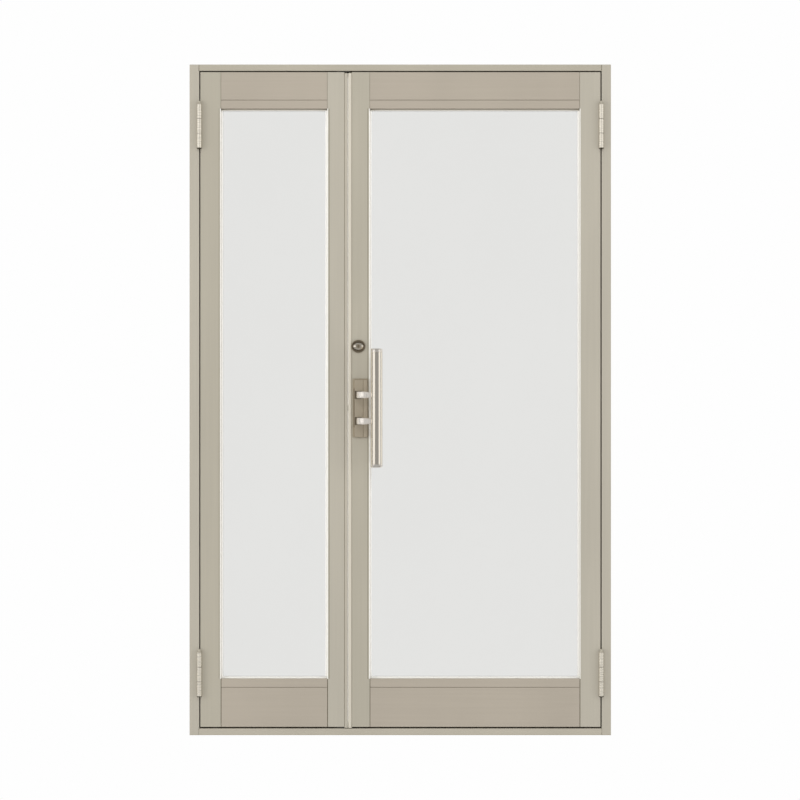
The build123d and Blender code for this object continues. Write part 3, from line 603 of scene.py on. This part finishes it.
class DOOR_OT_joints(bpy.types.Operator):
    """Adds nosings round the leaves, the gaskets' outer lips, which are partly painted highlight,
    a strip of painted shadow over each pane and lines of painted shade
    """

    bl_idname = "door.joints"
    bl_label = "Joints and lips"
    # Heights of the sill's and the head's outer face
    sill_face, head_face = 20 * MM, 17.5 * MM
    # Millimetres from the door's middle: the head's seams and the lips' edges
    seam = (605, 606)
    left_lip, right_lip, leaf_lip = (-607, -605.1), (606, 607), (601.2, 602.4)
    leaf_foot, leaf_top = 25.5 * MM, 1994.5 * MM
    head_lip, lip_depth, lip_round = 1.7 * MM, 2.5 * MM, 0.2 * MM

    def execute(self, context):
        sizes = context.scene.door_sizes
        head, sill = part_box("head"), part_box("sill")
        opening = (sill[0].z + self.sill_face, head[1].z - self.head_face)
        self.nosings(opening)
        # Dark lines over the head's seams: painted shade in the joints.
        seams = bmesh.new()
        for side in (-1, 1):
            ends = sorted(side * x * MM for x in self.seam)
            self.line(seams, ends, (opening[1], head[1].z - MM))
        piece_from("frame_seams", seams, "frame", "sealant_line")
        for leaf in LEAVES:
            self.glazing_lines(sizes, leaf)
        return {"FINISHED"}

    def line(self, bm, across, up, proud=0.06 * MM):
        """A flat line on the outer face, between two places across and two up."""
        sink = 0.5 * MM
        low = (across[0], LEAF_FACE - proud, up[0])
        rounded_box(bm, low, (across[1], LEAF_FACE + sink, up[1]), 0)

    def nosings(self, opening):
        """Narrow lips that close most of the gap between the frame and the leaves."""
        foot, top = opening
        back = LEAF_FACE + self.lip_depth
        (left, left_end), (right, right_end) = self.left_lip, self.right_lip
        leaf_left, leaf_right = self.leaf_lip
        coats = (
            ("jamb_nosings", "frame", "jamb_coat", (
                ((left, foot), (left_end, top)), ((right, foot), (right_end, top)),
            )),
            ("head_nosing", "frame", "head_coat", (
                ((left, top - self.head_lip), (right_end, top)),
            )),
            ("main_leaf_nosing", "main_leaf", "stile_coat", (
                ((leaf_left, self.leaf_foot), (leaf_right, self.leaf_top)),
            )),
        )
        for name, body, coat, lips in coats:
            bm = bmesh.new()
            for (start, low), (end, high) in lips:
                corner, opposite = (start * MM, LEAF_FACE, low), (end * MM, back, high)
                rounded_box(bm, corner, opposite, self.lip_round)
            piece_from(name, bm, body, coat)

    def glazing_lines(self, sizes, leaf):
        """One leaf's gasket lips beside the pane, partly painted highlight on the reveal's edges,
        a grey strip over it that is painted shadow under the top bead, and dark lines of painted
        shade: upright ones a little way out from the lips, and short ones where the rails meet the
        stiles."""
        low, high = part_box(f"{leaf}_glazing_beads")
        top_rail, bottom_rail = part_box(f"{leaf}_top_rail"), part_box(f"{leaf}_bottom_rail")
        foot, top = bottom_rail[1].z, top_rail[0].z
        lip, lip_rise = sizes.lip_and_highlight, 0.4 * MM
        shade_line_reach, thin = 5.2 * MM, 0.5 * MM
        painted_shadow_rise, painted_shadow_sink = 0.7 * MM, 0.3 * MM
        lips, lines, packing = bmesh.new(), bmesh.new(), bmesh.new()
        # Pale rubber lips beside each pane's upright edges, which also stand in for the lit edges
        # of the reveal: partly gasket, partly painted highlight.
        for edge, outward in ((low.x, -1), (high.x, 1)):
            ends = sorted((edge, edge + outward * lip))
            self.line(lips, ends, (foot, top), lip_rise)
            # Upright dark lines a little way out from the lips: painted shade.
            if not (leaf == "main" and outward > 0):
                start = edge + outward * shade_line_reach
                width = thin if (leaf, outward) == ("side", -1) else MM
                self.line(lines, sorted((start, start + outward * width)), (foot, top))
            # Short dark lines where the rails meet the stiles: painted shade in the joints.
            self.line(lines, (edge + 0.2 * MM, edge + 1.8 * MM), (bottom_rail[0].z, foot))
            self.line(lines, (edge - 0.2 * MM, edge + 0.3 * MM), (top, top_rail[1].z))
        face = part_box(f"{leaf}_gaskets")[0].y
        # A grey strip along the pane's top edge, in front of the gasket: painted shadow under the
        # top bead.
        rounded_box(
            packing, (low.x, face - painted_shadow_rise, top - sizes.painted_shadow_height),
            (high.x, face + painted_shadow_sink, top), self.lip_round,
        )
        body = f"{leaf}_leaf"
        piece_from(f"{leaf}_lips_and_highlight", lips, body, "pale_rubber")
        piece_from(f"{leaf}_sealant", lines, body, "sealant_line")
        piece_from(f"{leaf}_packing", packing, body, "packing_strip")


class DOOR_OT_hinges(bpy.types.Operator):
    """Builds the barrel hinges: plates, knuckles, washers, end caps and screws"""

    bl_idname = "door.hinges"
    bl_label = "Hinges"

    def execute(self, context):
        sizes = context.scene.door_sizes
        pin_low, pin_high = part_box("hinge_pins")
        pin_x = pin_high.x - (pin_high.y - pin_low.y) / 2
        pin_y = (pin_low.y + pin_high.y) / 2
        feet = (pin_low.z, pin_high.z - sizes.hinge_length)
        # Node, body, millimetres from the middle, thirds of the barrel, sides. The frame plate
        # carries the outer two knuckles, the leaf plate the middle one.
        plates = (
            ("hinge_frame_leaves", "frame", (604.5, 607), (0, 2), (-1, 1)),
            ("right_hinge_door_leaves", "main_leaf", (601.5, 604), (1,), (1,)),
            ("left_hinge_door_leaves", "side_leaf", (601.5, 604), (1,), (-1,)),
        )
        for node, body, across, thirds, sides in plates:
            metal, screws = bmesh.new(), bmesh.new()
            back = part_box(node)[1].y
            for side in sides:
                xs = sorted(side * x * MM for x in across)
                # The face of the plate that shows its screws
                bare = 0 if (node == "hinge_frame_leaves") == (side > 0) else 1
                for foot in feet:
                    self.plate(sizes, metal, xs, back, foot)
                    for third in thirds:
                        self.knuckle(sizes, metal, xs, side * pin_x, pin_y, foot, third)
                    self.screws(sizes, screws, xs[bare], 2 * bare - 1, foot)
            name = node.replace("leaves", "plates")
            piece = piece_from(name, metal, body, "hinge_satin")
            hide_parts(node)
            piece_from(f"{name}_screws", screws, body, "brushed_steel")
        wear("hinge_pins", "brushed_steel")
        caps, tops = bmesh.new(), bmesh.new()
        for side in (-1, 1):
            for foot in feet:
                self.caps(sizes, caps, side * pin_x, pin_y, foot)
                self.finial(sizes, tops, side * pin_x, pin_y, foot)
        piece_from("hinge_foot_caps", caps, "frame", "black_plastic")
        piece_from("hinge_top_caps", tops, "frame", "stile_coat")
        return {"FINISHED"}

    def finial(self, sizes, bm, x, y, foot):
        """The coated cap over one barrel's top: a thin collar and a stem."""
        radius = sizes.barrel_radius
        profile = (
            (0, 0), (radius, 0), (radius, 1.2 * MM), (radius * 0.75, 2.2 * MM),
            (radius * 0.6, 8.5 * MM), (radius * 0.45, 9.5 * MM), (0, 10 * MM),
        )
        turn(bm, profile, upright(x, y, foot + sizes.hinge_length), 48)

    def plate(self, sizes, bm, xs, back, foot):
        """The flat plate of one hinge half."""
        top = foot + sizes.hinge_length
        rounded_box(bm, (xs[0], LEAF_FACE, foot), (xs[1], back, top), sizes.fine_round)

    def knuckle(self, sizes, bm, xs, x, y, foot, third):
        """One third of the barrel and the web that joins it to its plate."""
        height = sizes.hinge_length / 3
        low = foot + third * height + sizes.washer / 2
        height -= sizes.washer
        web_front, web_back = y + 2 * MM, LEAF_FACE + MM
        rounded_box(
            bm, (xs[0], web_front, low), (xs[1], web_back, low + height), sizes.fine_round,
        )
        radius, chamfer = sizes.barrel_radius, 0.5 * MM
        profile = (
            (PIN_BORE, 0), (radius - chamfer, 0), (radius, chamfer),
            (radius, height - chamfer), (radius - chamfer, height), (PIN_BORE, height),
        )
        turn(bm, profile, upright(x, y, low))

    def screws(self, sizes, bm, x, outward, foot):
        """The evenly spaced screws of one plate."""
        count, y = sizes.screws_per_plate, LEAF_FACE + 12 * MM
        for index in range(count):
            z = foot + sizes.hinge_length * (index + 0.5) / count
            screw_head(bm, (x, y, z), (outward, 0, 0), sizes.screw_radius)

    def caps(self, sizes, bm, x, y, foot):
        """The domed foot cap of one barrel and the washers between its knuckles."""
        radius, thickness = sizes.cap_radius, sizes.cap_thickness
        profile = (
            (0, 0), (radius, 0), (radius, thickness * 0.55),
            (radius * 0.9, thickness * 0.85), (radius * 0.6, thickness), (0, thickness),
        )
        turn(bm, profile, facing((x, y, foot), (0, 0, -1)), 48)
        rim = sizes.barrel_radius + 0.25 * MM
        height = sizes.washer * 0.9
        washer = ((PIN_BORE, 0), (rim, 0), (rim, height), (PIN_BORE, height))
        for third in (1, 2):
            z = foot + third * sizes.hinge_length / 3 - height / 2
            turn(bm, washer, upright(x, y, z), 48)


class DOOR_OT_handles(bpy.types.Operator):
    """Builds the pull handles on both faces: base, bent arms, bar and bar caps"""

    bl_idname = "door.handles"
    bl_label = "Handles"

    def execute(self, context):
        for side, outward in (("outer", -1), ("inner", 1)):
            self.base(side, outward)
            self.bar(side)
            self.arms(context.scene.door_sizes, side, outward)
        wear("handle_bolts", "brushed_steel")
        return {"FINISHED"}

    def base(self, side, outward):
        """A dark back plate, a bronze cover with a groove, and dark liners in the arms' slots."""
        node = f"{side}_handle_base"
        low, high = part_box(node)
        face = high.y if outward < 0 else low.y
        depth = high.y - low.y
        plate_depth, chamfer = 2.5 * MM, 0.8 * MM
        left, right = low.x + 5.5 * MM, high.x - 1.2 * MM
        groove, steep, shallow, sunk = -112 * MM, 0.7 * MM, 5.5 * MM, 1.5 * MM
        slot_left, slot_right = low.x + 6.5 * MM, -116.5 * MM
        half_slot, through = 12 * MM, 0.02
        liner_foot, liner_top = 0.2 * MM, MM
        slots = [
            (
                (slot_left, face - through, z - half_slot),
                (slot_right, face + through, z + half_slot),
            )
            for z in arm_heights(low, high)
        ]
        covers = (
            ("plate", "bronze_edge", low.z, high.z, (
                (low.x, 0), (low.x, plate_depth - chamfer), (low.x + chamfer, plate_depth),
                (high.x - chamfer, plate_depth), (high.x, plate_depth - chamfer), (high.x, 0),
            )),
            ("cover", "bronze_plate", low.z + 0.6 * MM, high.z - 3 * MM, (
                (left, MM), (left, depth - chamfer), (left + chamfer, depth), (groove, depth),
                (groove + steep, depth - sunk), (groove + shallow, depth),
                (right - chamfer, depth), (right, depth - chamfer), (right, MM),
            )),
        )
        for name, coat, foot, top, outline in covers:
            bm = bmesh.new()
            prism(bm, [(x, face + outward * reach) for x, reach in outline], foot, top)
            piece = piece_from(f"{side}_base_{name}", bm, "main_leaf", coat)
            carved(piece, slots)
            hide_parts(node)
        bm = bmesh.new()
        for corner, opposite in slots:
            ys = sorted(face + outward * reach for reach in (liner_foot, liner_top))
            rounded_box(bm, (corner[0], ys[0], corner[2]), (opposite[0], ys[1], opposite[2]), 0)
        piece_from(f"{side}_slot_liners", bm, "main_leaf", "bronze_edge")

    def bar(self, side):
        """The polished bar, and its two caps with a fine groove where they meet it."""
        low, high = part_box(f"{side}_handle_bar")
        radius = (high.x - low.x) / 2
        x, y = (low.x + high.x) / 2, (low.y + high.y) / 2
        bm = bmesh.new()
        length = high.z - low.z
        turn(bm, ((0, 0), (radius, 0), (radius, length), (0, length)), upright(x, y, low.z), 96)
        piece = piece_from(f"{side}_bar", bm, f"{side}_handle", "polished_bar")
        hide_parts(f"{side}_handle_bar")
        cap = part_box(f"{side}_handle_caps")[1].z - high.z
        groove, chamfer = 0.6 * MM, 1.2 * MM
        profile = (
            (0, 0), (radius - groove, 0), (radius - groove, groove), (radius, 2 * groove),
            (radius, cap - chamfer), (radius - 0.35 * chamfer, cap - 0.35 * chamfer),
            (radius - chamfer, cap), (0, cap),
        )
        bm = bmesh.new()
        turn(bm, profile, upright(x, y, high.z), 96)
        turn(bm, profile, facing((x, y, low.z), (0, 0, -1)), 96)
        piece = piece_from(f"{side}_bar_caps", bm, f"{side}_handle", "cap_metal")
        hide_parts(f"{side}_handle_caps")

    def arms(self, sizes, side, outward):
        """Two arms swept from the base round a bend to the bar, and the rod they turn on."""
        node = f"{side}_handle_yoke"
        bar_low, bar_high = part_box(f"{side}_handle_bar")
        base_low, base_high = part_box(f"{side}_handle_base")
        bar_x, bar_y = (bar_low.x + bar_high.x) / 2, (bar_low.y + bar_high.y) / 2
        stile_face = base_high.y if outward < 0 else base_low.y
        arm_x, bend_radius = -125 * MM, 23 * MM
        root, overlap, rod_stand_off = 4.5 * MM, 15 * MM, 3.7 * MM
        root_y = stile_face + outward * root
        bend_y = bar_y - outward * bend_radius
        bend_x = arm_x + bend_radius
        tip_x = bar_x - overlap
        path = [(arm_x, root_y), (arm_x, (root_y + bend_y) / 2), (arm_x, bend_y)]
        steps = 12
        for step in range(1, steps + 1):
            angle = math.pi / 2 * step / steps
            path.append((
                bend_x - bend_radius * math.cos(angle),
                bend_y + outward * bend_radius * math.sin(angle),
            ))
        path += [((bend_x + tip_x) / 2, bar_y), (tip_x, bar_y)]
        bm = bmesh.new()
        for z in arm_heights(base_low, base_high):
            self.sweep(bm, path, z, sizes.arm_round)
        piece = piece_from(f"{side}_arms", bm, f"{side}_handle", "satin_nickel")
        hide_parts(node)
        rod, length = 2.5 * MM, 116 * MM
        place = upright(
            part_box(node)[0].x + rod, stile_face + outward * rod_stand_off,
            (base_low.z + base_high.z - length) / 2,
        )
        bm = bmesh.new()
        turn(bm, ((0, 0), (rod, 0), (rod, length), (0, length)), place, 24)
        piece = piece_from(
            f"{side}_pivot_rod", bm, f"{side}_handle", "dark_bronze",
        )
        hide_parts(node)

    def sweep(self, bm, path, z, edge):
        """One arm: a rounded oblong section, lower towards the bar."""
        half_thick, half_high, half_tip = 6 * MM, 10 * MM, 7.5 * MM
        corner_steps = 4
        taper_start, taper = -107.8 * MM, 20 * MM
        rings = []
        for index, (x, y) in enumerate(path):
            before = Vector(path[max(index - 1, 0)])
            after = Vector(path[min(index + 1, len(path) - 1)])
            along = (after - before).normalized()
            across = Vector((-along.y, along.x))
            share = max(0.0, min(1.0, (x - taper_start) / taper))
            high = half_high + (half_tip - half_high) * share
            ring = []
            for corner in range(4):
                sign_a = 1 if corner in (0, 3) else -1
                sign_z = 1 if corner in (0, 1) else -1
                for step in range(corner_steps + 1):
                    angle = math.pi / 2 * (corner + step / corner_steps)
                    offset = sign_a * (half_thick - edge) + edge * math.cos(angle)
                    height = sign_z * (high - edge) + edge * math.sin(angle)
                    point = Vector((x, y)) + across * offset
                    ring.append(bm.verts.new((point.x, point.y, z + height)))
            rings.append(ring)
        faces = []
        for first, second in zip(rings, rings[1:]):
            faces += joined(bm, first, second)
        faces.append(bm.faces.new(rings[0]))
        faces.append(bm.faces.new(list(reversed(rings[-1]))))
        bmesh.ops.recalc_face_normals(bm, faces=faces)


class DOOR_OT_lock(bpy.types.Operator):
    """Builds the lock cylinder outside and the thumbturn inside"""

    bl_idname = "door.lock"
    bl_label = "Lock"
    # How far the opening and the ring are stretched across and up
    eye, oval = (1.08, 0.82), (1.05, 0.96)

    def execute(self, context):
        sizes = context.scene.door_sizes
        low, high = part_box("cylinder_collar")
        x, z = (low.x + high.x) / 2, (low.z + high.z) / 2
        stile_face = high.y
        outer = (high.x - low.x) / 2
        body_low, body_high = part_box("cylinder_body")
        inner = (body_high.x - body_low.x) / 2
        place = facing((x, stile_face, z), (0, -1, 0))
        self.collar(place, inner, outer, stile_face - low.y)
        self.cylinder(place, inner, stile_face - body_low.y)
        wear("key_plug", "plug_bronze")
        for node, body in (("thumbturn_rose", "main_leaf"), ("thumbturn", "thumbturn")):
            rounded_copy(node, body, "satin_nickel", sizes.fine_round)
        return {"FINISHED"}

    def collar(self, place, inner, outer, depth):
        """The dark ring, slightly oval, with an eye-shaped opening."""
        slope, shoulder = 1.5 * MM, depth * 0.75
        profile = (
            (inner, 0), (outer, 0), (outer, depth * 0.45), (outer - 0.5 * MM, shoulder),
            (outer - slope, depth), (inner + 1.1 * MM, depth), (inner, shoulder), (inner, 0),
        )
        bm = bmesh.new()
        turn(bm, profile, Matrix(), 96)
        for vertex in bm.verts:
            outside = math.hypot(vertex.co.x, vertex.co.y) > outer - 1.6 * MM
            wide, tall = self.oval if outside else self.eye
            vertex.co.x *= wide
            vertex.co.y *= tall
        bm.transform(place)
        piece = piece_from("lock_collar", bm, "main_leaf", "dark_bronze")
        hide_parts("cylinder_collar")

    def cylinder(self, place, radius, depth):
        """The cylinder's face: a shallow dome round the key plug."""
        plug, curve = 6.25 * MM, 26 * MM
        crown = depth - curve
        rim = radius - 0.05 * MM
        steps = 10
        profile = [(plug, 0), (rim, 0)]
        for step in range(steps + 1):
            reach = rim + (plug - rim) * step / steps
            profile.append((reach, crown + math.sqrt(curve * curve - reach * reach)))
        profile.append((plug, 0))
        bm = bmesh.new()
        turn(bm, profile, place @ Matrix.Diagonal((*self.eye, 1, 1)), 96)
        piece = piece_from("lock_cylinder", bm, "main_leaf", "lock_nickel")
        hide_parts("cylinder_body")


class DOOR_OT_fittings(bpy.types.Operator):
    """Finishes faceplates, strikes, bolts and keepers, and adds their screws"""

    bl_idname = "door.fittings"
    bl_label = "Bolts, strikes and plates"

    def execute(self, context):
        sizes = context.scene.door_sizes
        fine = sizes.fine_round / 2
        inset, keeper_inset, keeper_thickness = 8 * MM, 6 * MM, 1.5 * MM
        plate_screw, keeper_screw = 3.4 * MM, 2.6 * MM
        bolt_plate_length = 160 * MM
        screws = {"main_leaf": bmesh.new(), "side_leaf": bmesh.new(), "frame": bmesh.new()}
        plates = (
            ("latch_case", "main_leaf", -1), ("deadlock_case", "main_leaf", -1),
            ("latch_strike", "side_leaf", 1), ("deadbolt_strike", "side_leaf", 1),
            ("flush_bolt_plates", "side_leaf", 1),
        )
        for node, body, outward in plates:
            rounded_copy(node, body, "brushed_steel", fine)
            low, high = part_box(node)
            x, y = low.x if outward < 0 else high.x, (low.y + high.y) / 2
            heights = [low.z + inset, high.z - inset]
            if node == "flush_bolt_plates":
                ends = (low.z, high.z - bolt_plate_length)
                heights = [z for end in ends for z in (
                    end + inset, end + bolt_plate_length - inset,
                )]
            for z in heights:
                screw_head(screws[body], (x, y, z), (outward, 0, 0), plate_screw)
        rounded_copy("flush_bolt_keepers", "frame", "brushed_steel", fine)
        low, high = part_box("flush_bolt_keepers")
        y = (low.y + high.y) / 2
        for x in (low.x + keeper_inset, high.x - keeper_inset):
            for z, up in ((high.z - keeper_thickness, -1), (low.z + keeper_thickness, 1)):
                screw_head(screws["frame"], (x, y, z), (0, 0, up), keeper_screw)
        for body, bm in screws.items():
            piece_from(f"{body}_plate_screws", bm, body, "brushed_steel")
        for node in ("latch_bolt", "deadbolt", "top_flush_bolt", "bottom_flush_bolt"):
            rounded_copy(node, node, "brushed_steel", sizes.fine_round)
        return {"FINISHED"}


class DOOR_OT_stage(bpy.types.Operator):
    """Sets the pale floor, the white surroundings, the soft lights and the camera"""

    bl_idname = "door.stage"
    bl_label = "Stage, light and camera"
    target = Vector((0, 0, 1.0))

    def execute(self, context):
        view = context.scene.door_view
        self.floor(view)
        self.surroundings(view)
        # Name, place, width and height, power
        for light in (
            ("left_light", (-5.8, -3.2, 1.1), (2.0, 3.4), view.key_power),
            ("right_light", (5.8, -3.2, 0.9), (1.6, 3.4), view.fill_power),
            ("top_light", (0, -5.5, 4.6), (3.0, 2.0), view.fill_power),
            ("back_light", (1.6, 5.2, 2.8), (3.0, 2.4), view.fill_power),
        ):
            self.light(*light)
        # Name, first and last angle, strength
        for card in (
            ("left_card", -79, -33, 1.0), ("right_card", 42, 84, 0.95),
            ("back_card", 120, 240, 0.8),
        ):
            self.card(*card)
        self.camera(view)
        context.scene.view_settings.view_transform = "Standard"
        return {"FINISHED"}

    def glow(self, tree, surface, view, level):
        """Drives a shader's strength by what looks at it: white for the camera, straight on and
        through the glass, dim for mirrors, and a level of its own for everything it lights."""
        path = tree.nodes.new("ShaderNodeLightPath")
        seen = self.math(
            tree, "MAXIMUM", path.outputs["Is Camera Ray"], path.outputs["Is Transmission Ray"],
        )
        unseen = self.math(tree, "SUBTRACT", None, seen, 1.0)
        mirrored = self.math(tree, "MULTIPLY", path.outputs["Is Glossy Ray"], unseen)
        bright = spread(tree, seen, level, 0.991, 0, 1)
        dim = spread(tree, mirrored, 0, view.mirrored - level, 0, 1)
        tree.links.new(self.math(tree, "ADD", bright, dim), surface.inputs["Strength"])

    def math(self, tree, operation, first, second, constant=0.0):
        """A maths node on two sockets; a missing one is the constant."""
        node = tree.nodes.new("ShaderNodeMath")
        node.operation = operation
        for socket, value in zip(node.inputs, (first, second)):
            if value is None:
                socket.default_value = constant
            else:
                tree.links.new(value, socket)
        return node.outputs["Value"]

    def floor(self, view):
        """A wide white floor that shows as bright as the surroundings."""
        bm = bmesh.new()
        bmesh.ops.create_circle(bm, cap_ends=True, segments=64, radius=60)
        material, emission = self.lamp_material("floor_white")
        bounce = 1.35
        self.glow(material.node_tree, emission, view, bounce * view.ambient)
        self.stage_piece("floor", bm, material)

    def lamp_material(self, name):
        """A material that only gives light, and its emission node."""
        material = bpy.data.materials.new(name)
        material.use_nodes = True
        tree = material.node_tree
        tree.nodes.clear()
        emission = tree.nodes.new("ShaderNodeEmission")
        output = tree.nodes.new("ShaderNodeOutputMaterial")
        tree.links.new(emission.outputs["Emission"], output.inputs["Surface"])
        return material, emission

    def stage_piece(self, name, bm, material):
        """A piece of the stage, which isn't part of the door."""
        mesh = mesh_from(name, bm)
        mesh.materials.append(material)
        piece = placed(name, mesh)
        return piece

    def surroundings(self, view):
        """The white world."""
        world = bpy.data.worlds.new("white_studio")
        bpy.context.scene.world = world
        world.use_nodes = True
        background = world.node_tree.nodes["Background"]
        background.inputs["Color"].default_value = (1, 1, 1, 1)
        self.glow(world.node_tree, background, view, view.ambient)

    def light(self, name, place, size, power):
        """A soft light turned to the door that only lights: cards stand in for it in mirrors."""
        lamp = bpy.data.lights.new(name, "AREA")
        lamp.shape = "RECTANGLE"
        lamp.size, lamp.size_y = size
        lamp.energy = power
        lamp_object = placed(name, lamp)
        lamp_object.location = place
        direction = self.target - Vector(place)
        lamp_object.rotation_euler = direction.to_track_quat("-Z", "Y").to_euler()
        lamp_object.visible_glossy = False
        lamp_object.visible_transmission = False
        lamp_object.visible_camera = False

    def card(self, name, start, end, strength):
        """A curved white card round the door that only glossy surfaces show. The angles are in
        degrees from straight ahead of the outer face, positive to the right."""
        bm = bmesh.new()
        radius, low, high = 7.0, -1.8, 3.6
        columns = []
        steps = 12
        for step in range(steps + 1):
            angle = math.radians(start + (end - start) * step / steps)
            x, y = radius * math.sin(angle), -radius * math.cos(angle)
            columns.append([bm.verts.new((x, y, z)) for z in (low, high)])
        for first, second in zip(columns, columns[1:]):
            bm.faces.new((first[0], second[0], second[1], first[1]))
        material, emission = self.lamp_material(name)
        emission.inputs["Strength"].default_value = strength
        card = self.stage_piece(name, bm, material)
        card.visible_camera = False
        card.visible_diffuse = False
        card.visible_transmission = False
        card.visible_shadow = False

    def camera(self, view):
        """The camera, level and straight on, at the distance that gives the image scale."""
        lens = bpy.data.cameras.new("camera")
        lens.lens = view.lens
        lens.sensor_width = SENSOR_WIDTH
        lens.clip_end = 200
        distance = IMAGE_WIDTH * view.scale_at_face * view.lens / lens.sensor_width
        camera = placed("camera", lens)
        off_centre = -0.86 * MM
        camera.location = (off_centre, LEAF_FACE - distance, view.aim_height)
        camera.rotation_euler = (math.pi / 2, 0, 0)
        bpy.context.scene.camera = camera


OPERATORS = (
    DOOR_OT_stage, DOOR_OT_profiles, DOOR_OT_glazing, DOOR_OT_seals, DOOR_OT_joints,
    DOOR_OT_hinges, DOOR_OT_handles, DOOR_OT_lock, DOOR_OT_fittings,
)


class DOOR_PT_panel(bpy.types.Panel):
    """Lists the door's colours, sizes and steps"""

    bl_idname = "DOOR_PT_panel"
    bl_label = "Glazed entrance door"
    bl_space_type = "VIEW_3D"
    bl_region_type = "UI"
    bl_category = "Door"

    def draw(self, context):
        for group in (
            context.scene.door_colours, context.scene.door_sizes, context.scene.door_view,
        ):
            box = self.layout.box()
            for name in type(group).__annotations__:
                box.prop(group, name)
        for operator in OPERATORS:
            self.layout.operator(operator.bl_idname)


CLASSES = (DoorColours, DoorSizes, DoorView, *OPERATORS, DOOR_PT_panel)


def register():
    for cls in CLASSES:
        bpy.utils.register_class(cls)
    bpy.types.Scene.door_colours = PointerProperty(type=DoorColours)
    bpy.types.Scene.door_sizes = PointerProperty(type=DoorSizes)
    bpy.types.Scene.door_view = PointerProperty(type=DoorView)


def unregister():
    del bpy.types.Scene.door_view
    del bpy.types.Scene.door_sizes
    del bpy.types.Scene.door_colours
    for cls in reversed(CLASSES):
        bpy.utils.unregister_class(cls)


def main():
    """Dresses the door step by step."""
    register()
    for operator in OPERATORS:
        group, name = operator.bl_idname.split(".")
        getattr(getattr(bpy.ops, group), name)()


if __name__ == "__main__":
    main()
